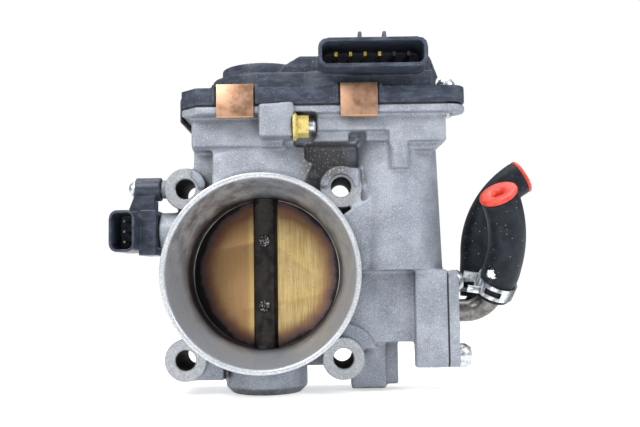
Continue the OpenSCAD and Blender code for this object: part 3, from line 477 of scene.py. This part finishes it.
def clean_copy(name, node):
    """A copy of a CAD node with its vertices joined and its flat faces in one piece."""
    work = bmesh.new()
    work.from_mesh(frame["nodes"][node].data)
    bmesh.ops.remove_doubles(work, verts=work.verts, dist=0.002 * MM)
    bmesh.ops.dissolve_limit(work, angle_limit=math.radians(0.6), verts=work.verts,
                             edges=work.edges)
    mesh = bpy.data.meshes.new(name)
    work.to_mesh(mesh)
    work.free()
    return add_object(name, mesh)


def smooth(piece, angle=32):
    piece.data.shade_smooth()
    piece.data.set_sharp_from_angle(angle=math.radians(angle))


def paint(piece, material):
    piece.data.materials.clear()
    piece.data.materials.append(material)


def place(piece, body, nodes, slot_name, material):
    """Gives a finished piece its material and ties it to the frame."""
    paint(piece, material)
    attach(piece, body)
    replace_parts(piece, *nodes)


def bevelled(name, node, width_mm, segments=2, angle=38):
    """The CAD node's shape with rounded edges."""
    piece = clean_copy(name, node)
    bevel = piece.modifiers.new("edges", "BEVEL")
    bevel.width = width_mm * MM
    bevel.segments = segments
    bevel.limit_method = "ANGLE"
    bevel.angle_limit = math.radians(angle)
    bevel.use_clamp_overlap = True
    apply_modifiers(piece)
    smooth(piece)
    return piece


def vertex_row(work, points_mm):
    return [work.verts.new(Vector(point) * MM) for point in points_mm]


def skin(work, rows):
    """Faces between each closed row of vertices and the next."""
    for here, there in zip(rows, rows[1:]):
        for i in range(len(here)):
            j = (i + 1) % len(here)
            work.faces.new((here[i], here[j], there[j], there[i]))


def finished_mesh(work, name):
    bmesh.ops.remove_doubles(work, verts=work.verts, dist=0.001 * MM)
    bmesh.ops.recalc_face_normals(work, faces=work.faces)
    mesh = bpy.data.meshes.new(name)
    work.to_mesh(mesh)
    work.free()
    return mesh


def turned_solid(name, profile, steps, point):
    """A closed profile turned full circle; point(height, radius, angle) gives the place."""
    work = bmesh.new()
    rows = [vertex_row(work, [point(h, r, 2 * math.pi * k / steps) for h, r in profile])
            for k in range(steps)]
    skin(work, rows + rows[:1])
    return add_object(name, finished_mesh(work, name))


def lathe(name, profile, center, steps=144):
    """A solid of revolution along Y from a closed profile of (y, radius) in millimetres."""
    def point(y, r, angle):
        return center[0] + r * math.cos(angle), y, center[1] + r * math.sin(angle)

    return turned_solid(name, profile, steps, point)


def cylinder_cutter(radius_mm, start, end, steps=128):
    """A closed cylinder between two points in millimetres, used as a cutting tool."""
    start, end = Vector(start) * MM, Vector(end) * MM
    along = end - start
    work = bmesh.new()
    bmesh.ops.create_cone(work, cap_ends=True, segments=steps, radius1=radius_mm * MM,
                          radius2=radius_mm * MM, depth=along.length)
    middle = Matrix.Translation((start + end) / 2)
    work.transform(middle @ along.to_track_quat("Z", "Y").to_matrix().to_4x4())
    mesh = bpy.data.meshes.new("cutter")
    work.to_mesh(mesh)
    work.free()
    return add_object("cutter", mesh)


def cut_with(piece, tools):
    for tool in tools:
        cut = piece.modifiers.new("cut", "BOOLEAN")
        cut.operation = "DIFFERENCE"
        cut.solver = "EXACT"
        cut.object = tool
    apply_modifiers(piece)
    for tool in tools:
        bpy.data.objects.remove(tool, do_unlink=True)


def remeshed(piece, voxel_mm, passes, most_faces):
    """Turns a sharp solid into one with the soft edges of a casting or moulding."""
    remesh = piece.modifiers.new("voxels", "REMESH")
    remesh.mode = "VOXEL"
    remesh.voxel_size = voxel_mm * MM
    remesh.adaptivity = 0
    apply_modifiers(piece)
    soften = piece.modifiers.new("soften", "SMOOTH")
    soften.factor = 0.5
    soften.iterations = passes
    apply_modifiers(piece)
    triangles = sum(len(p.vertices) - 2 for p in piece.data.polygons)
    if triangles > most_faces:
        fewer = piece.modifiers.new("fewer", "DECIMATE")
        fewer.ratio = most_faces / triangles
        apply_modifiers(piece)
    piece.data.shade_smooth()


# ---------------------------------------------------------------- housing

aluminium = cast_aluminium()
turned = turned_aluminium("turned_bore", 1.0, True)
faced = turned_aluminium("turned_face", 0.72, False)
# near black for the walls of the bolt holes: painted shade for the darkness inside them
hole_shade = dull("hole_shade", (0.006, 0.006, 0.007), (0.016, 0.015, 0.015), 0.9)

FILLET_FRONT = -45     # where the fillet leaves the neck
FILLET_BACK = -33      # its rear face, inside the casting
FILLET_DEPTH = 8.8     # how far back its curve runs
FILLET_FOOT = 39.4     # inner radius, inside the neck's wall
FILLET_TOP = 50.5      # outer radius
FILLET_HEIGHT = 10.8   # rise of its curve


def flare_fillet():
    """Hollow fillet, closed all round, from the top of the neck out to the flare."""
    turns = [math.radians(t) for t in range(0, 91, 10)]
    arc = [(FILLET_FRONT + FILLET_DEPTH * math.sin(t), FILLET_TOP - FILLET_HEIGHT * math.cos(t))
           for t in turns]
    profile = [(FILLET_BACK, FILLET_FOOT), (FILLET_FRONT, FILLET_FOOT), *arc,
               (FILLET_BACK, FILLET_TOP)]
    angles = [math.radians(a) for a in range(65, 116, 2)]
    work = bmesh.new()
    rows = [vertex_row(work, [(r * math.cos(a), y, r * math.sin(a)) for y, r in profile])
            for a in angles]
    skin(work, rows)
    work.faces.new(rows[0])
    work.faces.new(rows[-1])
    return finished_mesh(work, "flare")


def join_mesh(piece, mesh):
    """Adds another closed mesh to the piece; the remesh that follows makes them one."""
    work = bmesh.new()
    work.from_mesh(piece.data)
    work.from_mesh(mesh)
    work.to_mesh(piece.data)
    work.free()
    bpy.data.meshes.remove(mesh)


housing = clean_copy("housing_cast", "throttle_housing")
tools = [cylinder_cutter(34.4, (0, -60, 0), (0, 4, 0)),
         cylinder_cutter(41.5, (0, -60, 0), (0, NECK_END_Y - 0.5, 0))]
bolts = [(sx * BOLT_X, sz * BOLT_Z) for sx in (-1, 1) for sz in (-1, 1)]
for x, z in bolts:
    tools.append(cylinder_cutter(5.2, (x, -60, z), (x, 4, z), 48))
cut_with(housing, tools)
join_mesh(housing, flare_fillet())
remeshed(housing, 0.7, 3, 190000)
place(housing, "housing", ["throttle_housing"], "cast_aluminium", aluminium)

NECK_PROFILE = [
    (RIM_Y + 0.5, NECK_RADIUS + 0.04), (NECK_END_Y + 0.1, NECK_RADIUS + 0.04),
    (NECK_END_Y + 0.1, LINER_RADIUS), (-0.06, LINER_RADIUS), (-0.02, LINER_RADIUS - 0.2),
    (-0.02, OUTLET_RADIUS + 0.3), (-0.3, OUTLET_RADIUS), (-OUTLET_DEPTH, OUTLET_RADIUS),
    (-OUTLET_DEPTH, BORE_RADIUS), (-31.2, BORE_RADIUS),
    (-32.6, BORE_RADIUS + 0.12), (-34, BORE_RADIUS + 0.55), (-50, MOUTH_RADIUS - 0.6),
    (-52.4, MOUTH_RADIUS - 0.1), (-53.3, MOUTH_RADIUS + 0.25), (-53.85, MOUTH_RADIUS + 0.7),
    (RIM_Y, MOUTH_RADIUS + 1.15), (RIM_Y, NECK_RADIUS - 0.55), (-53.85, NECK_RADIUS - 0.15)]
neck = lathe("neck_and_bore", NECK_PROFILE, (0, 0), 192)
shaft_hole = cylinder_cutter(SHAFT_HOLE_RADIUS, (0, SHAFT_Y, -45), (0, SHAFT_Y, 45), 64)
cut_with(neck, [shaft_hole])
smooth(neck, 40)
place(neck, "housing", ["throttle_housing"], "cast_aluminium", turned)

EAR_PROFILE = [
    (EAR_FACE_Y - 0.05, BOLT_HOLE_RADIUS + 0.45), (EAR_FACE_Y + 0.4, BOLT_HOLE_RADIUS),
    (-0.3, BOLT_HOLE_RADIUS), (-0.02, BOLT_HOLE_RADIUS + 0.3), (-0.02, 5.7), (-30, 5.7),
    (-33.5, 8.3), (EAR_FACE_Y + 0.2, 8.62), (EAR_FACE_Y - 0.05, 8.4)]
for number, (x, z) in enumerate(bolts):
    ear = lathe(f"ear_face_{number + 1}", EAR_PROFILE, (x, z), 72)
    smooth(ear, 30)
    place(ear, "housing", ["throttle_housing"], "cast_aluminium", faced)
    # the walls of the bolt holes take the near-black painted shade
    ear.data.materials.append(hole_shade)
    for face in ear.data.polygons:
        across = math.hypot(face.center.x / MM - x, face.center.z / MM - z)
        if across < BOLT_HOLE_RADIUS + 0.1 and face.center.y / MM > EAR_FACE_Y:
            face.material_index = 1

# ---------------------------------------------------------------- plastic parts

cover = clean_copy("cover_shell", "gear_cover")
remeshed(cover, 0.5, 2, 180000)
place(cover, "housing", ["gear_cover"], "cover_plastic", black_plastic("cover_plastic", 0.44, 0.35))

sensor = clean_copy("pressure_sensor_shell", "map_sensor")
remeshed(sensor, 0.3, 2, 120000)
place(sensor, "housing", ["map_sensor"], "cover_plastic", black_plastic("sensor_plastic", 0.36, 0.2))

# ---------------------------------------------------------------- hoses and caps


def move(x, y, z):
    return Matrix.Translation((x, y, z))


def spin(degrees, axis):
    return Matrix.Rotation(math.radians(degrees), 4, axis)


def follow(start, steps, spacing=1.0):
    """Frames along a run of steps (straight, bend radius, angle), and the run's length."""
    frames = []
    length = 0.0
    here = start
    for straight, radius, angle in steps:
        flip = 0 if radius > 0 else 180
        radius = abs(radius)
        count = max(1, round(straight / spacing))
        for k in range(count):
            frames.append((length + straight * k / count, here @ move(0, 0, straight * k / count)))
        length += straight
        bend = here @ move(0, 0, straight) @ spin(flip, "Z")
        arc = radius * math.radians(angle)
        count = max(2, round(arc / spacing))
        for k in range(count + 1):
            part = math.radians(angle * k / count)
            step = move(radius * (1 - math.cos(part)), 0, radius * math.sin(part))
            frames.append((length + arc * k / count,
                           bend @ step @ spin(math.degrees(part), "Y") @ spin(flip, "Z")))
        length += arc
        here = frames[-1][1]
    return frames, length


PIPE_START = 76.8
PIPE_Z = -17.3
ROUTES = {
    "front": (-20.5, 32, [(8.9, 11, 74)], [(8, -58, 40)]),
    "rear": (-4.4, 0, [(11, 6, 88)], [(20, 40, 58)]),
}


def swept_hose(name, frames, length):
    """Hose with a waist under its clamp, a slight flare at the cap and rounded lips."""
    sides = 56
    work = bmesh.new()
    rows = []

    def add_row(matrix, radius):
        angles = [2 * math.pi * k / sides for k in range(sides)]
        rows.append(vertex_row(work, [
            matrix @ Vector((radius * math.cos(a), radius * math.sin(a), 0)) for a in angles]))

    first, last = frames[0][1], frames[-1][1]
    add_row(first, HOSE_BORE_RADIUS + 0.02)
    add_row(first, HOSE_RADIUS - 0.55)
    add_row(first @ move(0, 0, 0.15), HOSE_RADIUS - 0.15)
    for along, matrix in frames:
        if along < 0.6 or along > length - 0.6:
            continue
        waist = math.exp(-((along - 5) / 3.4) ** 2)
        collar = math.exp(-((along - 11.5) / 2.6) ** 2)
        flare = math.exp(-((along - length) / 4.5) ** 2)
        add_row(matrix, HOSE_RADIUS - 0.12 * waist + 0.14 * collar + 0.12 * flare)
    add_row(last @ move(0, 0, -0.15), HOSE_RADIUS + 0.02)
    add_row(last, HOSE_RADIUS - 0.35)
    add_row(last, HOSE_BORE_RADIUS + 0.02)
    for along, matrix in reversed(frames):
        add_row(matrix, HOSE_BORE_RADIUS)
    skin(work, rows + rows[:1])
    return add_object(name, finished_mesh(work, name))


def revolved(name, matrix, profile, steps=64):
    """A closed profile of (height, radius) turned about the matrix's Z axis."""
    def point(h, r, angle):
        return matrix @ Vector((r * math.cos(angle), r * math.sin(angle), h))

    return turned_solid(name, profile, steps, point)


CAP_PROFILE = [
    (0.02, 4.3), (0.02, 7.4), (0.25, 7.75), (0.8, 7.92), (1.35, 7.78), (1.72, 7.3),
    (1.8, 6.4), (1.72, 4.6), (1.6, 3.4), (1.3, 2.7), (0.7, 2.2), (-0.6, 1.9), (-0.8, 0.001),
    (-1.5, 0.001), (-1.5, 3.2), (-2.6, 3.3), (-2.9, 3.6), (-3.0, 4.0), (-2.8, 4.3)]

hose_frames = {}
for side, (y, tilt, pipe_steps, hose_steps) in ROUTES.items():
    start = move(PIPE_START, y, PIPE_Z) @ spin(tilt, "X") @ spin(90, "Y") @ spin(180, "Z")
    pipe_frames, _ = follow(start, pipe_steps)
    hose_frames[side] = follow(pipe_frames[-1][1] @ spin(180, "Z"), hose_steps)
# the daub of paint sits on the front hose, this far from its lower end
DAUB_ALONG = 11.5
dot = min(hose_frames["front"][0], key=lambda item: abs(item[0] - DAUB_ALONG))[1].translation
rubber = hose_rubber((dot.x - 4.6, dot.y - 5.8, dot.z))
vinyl = red_vinyl()
for side, (frames, length) in hose_frames.items():
    hose = swept_hose(f"{side}_hose_tube", frames, length)
    smooth(hose, 45)
    place(hose, "housing", [f"{side}_hose"], "hose_rubber", rubber)
    cap = revolved(f"{side}_cap_plug", frames[-1][1], CAP_PROFILE)
    smooth(cap, 60)
    place(cap, "housing", [f"{side}_cap"], "cap_vinyl", vinyl)

# ---------------------------------------------------------------- small metal parts

FINISHES = {
    "cast_aluminium": aluminium,
    "cover_plastic": cover.data.materials[0],
    "clip_steel": metal("clip_copper", (0.36, 0.205, 0.130), (0.47, 0.285, 0.19), 0.40, 5.0,
                        (0.16, 0.08, 0.05), 0.5),
    "zinc_steel": metal("zinc_steel", (0.44, 0.46, 0.49), (0.70, 0.73, 0.76), 0.36, 1.6),
    "bearing_steel": metal("bearing_steel", (0.45, 0.46, 0.48), (0.66, 0.67, 0.69), 0.22, 2.0),
    "black_steel": burnt_steel(),
    "plate_brass": tarnished_plate(),
    "seal_rubber": dull("seal_rubber", (0.010, 0.010, 0.011), (0.028, 0.028, 0.030), 0.6),
    "hose_rubber": rubber,
    "cap_vinyl": vinyl,
    "yellow_paint": yellow_paint(),
    "terminal_gold": terminal_plating(),
    # the tin is given a dark colour: painted shade, as the sensor's pins sit in the shade of their
    # socket
    "terminal_tin": metal("terminal_tin", (0.16, 0.165, 0.17), (0.30, 0.305, 0.31), 0.3, 0.8),
    "gear_nylon": dull("gear_nylon", (0.62, 0.58, 0.46), (0.74, 0.70, 0.58), 0.4, 2.0, 0.02),
    "board": dull("board", (0.02, 0.09, 0.04), (0.03, 0.14, 0.06), 0.35, 1.0, 0.02),
    "motor_plastic": dull("motor_plastic", (0.55, 0.52, 0.44), (0.68, 0.65, 0.56), 0.42, 1.5, 0.02),
    "ferrite": dull("ferrite", (0.05, 0.05, 0.055), (0.10, 0.10, 0.105), 0.55, 0.8, 0.05),
    "graphite": dull("graphite", (0.03, 0.028, 0.027), (0.07, 0.065, 0.06), 0.45, 0.6, 0.03),
    "winding": metal("winding", (0.36, 0.13, 0.05), (0.55, 0.24, 0.10), 0.35, 0.6),
    "sintered_bronze": metal("sintered_bronze", (0.40, 0.22, 0.10), (0.56, 0.35, 0.18), 0.45, 0.5),
    "pipe_metal": metal("pipe_metal", (0.12, 0.112, 0.105), (0.24, 0.235, 0.23), 0.36, 3.0,
                        (0.13, 0.09, 0.06), 0.6),
}
staked = staked_steel()

slots = {part["node"]: part["material_slot"] for part in frame["record"]["subparts"]}

# node, new piece, body, width of its rounded edges in millimetres
EDGED = [
    ("cover_clips", "spring_clips", "housing", 0.25),
    ("cover_screws", "cover_screw_heads", "housing", 0.25),
    ("stop_nut", "stop_screw_nut", "housing", 0.3),
    ("stop_screw", "stop_screw_rod", "housing", 0.15),
    ("coolant_cover", "coolant_plate", "housing", 0.6),
    ("coolant_screws", "coolant_bolts", "housing", 0.35),
    ("front_clamp", "front_spring_clamp", "housing", 0.2),
    ("rear_clamp", "rear_spring_clamp", "housing", 0.2),
    ("throttle_shaft", "shaft_body", "throttle", 0.2),
    ("throttle_plate", "plate_disc", "throttle", 0.15),
    ("plate_screws", "plate_screw_heads", "throttle", 0.25),
    ("map_sensor_screw", "sensor_screw", "housing", 0.25),
    ("bearing_cap", "bearing_cup", "housing", 0.25),
]
for node, name, body, width in EDGED:
    piece = bevelled(name, node, width)
    finish = staked if node == "plate_screws" else FINISHES[slots[node]]
    place(piece, body, [node], slots[node], finish)

replaced = {node for o in scene.objects for node in o.get("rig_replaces", [])}
for name, node in frame["nodes"].items():
    if name not in replaced:
        node.data.materials.clear()
        node.data.materials.append(FINISHES[slots[name]])

# ---------------------------------------------------------------- stage

lowest = cad_box[0][2]
floor_mesh = bpy.data.meshes.new("floor")
work = bmesh.new()
bmesh.ops.create_grid(work, x_segments=1, y_segments=1, size=4.0)
work.to_mesh(floor_mesh)
work.free()
floor = add_object("floor", floor_mesh)
floor.location = (0, 0, lowest)
white = Shader("floor_white", 0.9)
white.bsdf.inputs["Specular IOR Level"].default_value = 0.0
white.bsdf.inputs["Emission Strength"].default_value = 0.55
white.bsdf.inputs["Emission Color"].default_value = (1, 1, 1, 1)
paper = white.noise(60, 2)
paint(floor, white.done(white.mix(paper, (0.80, 0.80, 0.80), (0.82, 0.82, 0.82))))

world = bpy.data.worlds.new("studio")
scene.world = world
world.use_nodes = True
tree = world.node_tree
background = tree.nodes["Background"]
coords = tree.nodes.new("ShaderNodeTexCoord")
parts = tree.nodes.new("ShaderNodeSeparateXYZ")
tree.links.new(coords.outputs["Generated"], parts.inputs[0])
level = tree.nodes.new("ShaderNodeMapRange")
level.inputs["From Min"].default_value = -0.3
level.inputs["From Max"].default_value = 0.9
level.inputs["To Min"].default_value = 0.12
level.inputs["To Max"].default_value = 0.72
tree.links.new(parts.outputs["Z"], level.inputs["Value"])
ray = tree.nodes.new("ShaderNodeLightPath")
seen = tree.nodes.new("ShaderNodeMix")
seen.data_type = "FLOAT"
tree.links.new(ray.outputs["Is Camera Ray"], seen.inputs[0])
tree.links.new(level.outputs[0], seen.inputs[2])
seen.inputs[3].default_value = 1.02
tree.links.new(seen.outputs[0], background.inputs["Strength"])
background.inputs["Color"].default_value = (1, 1, 1, 1)


def softbox(name, place_mm, size_mm, watts, color):
    """An area light that faces the middle of the object."""
    data = bpy.data.lights.new(name, "AREA")
    data.shape = "RECTANGLE"
    data.size, data.size_y = (v * MM for v in size_mm)
    data.energy = watts
    data.color = color
    light = bpy.data.objects.new(name, data)
    scene.collection.objects.link(light)
    light.location = Vector(place_mm) * MM
    aim = Vector((15, -20, 15)) * MM - light.location
    light.rotation_euler = aim.to_track_quat("-Z", "Y").to_euler()


softbox("key", (-260, -420, 420), (260, 260), 3.0, (1.0, 0.985, 0.96))
softbox("window", (380, -260, 300), (240, 320), 1.3, (0.90, 0.95, 1.0))
softbox("top", (20, 60, 520), (420, 300), 1.6, (0.94, 0.97, 1.0))
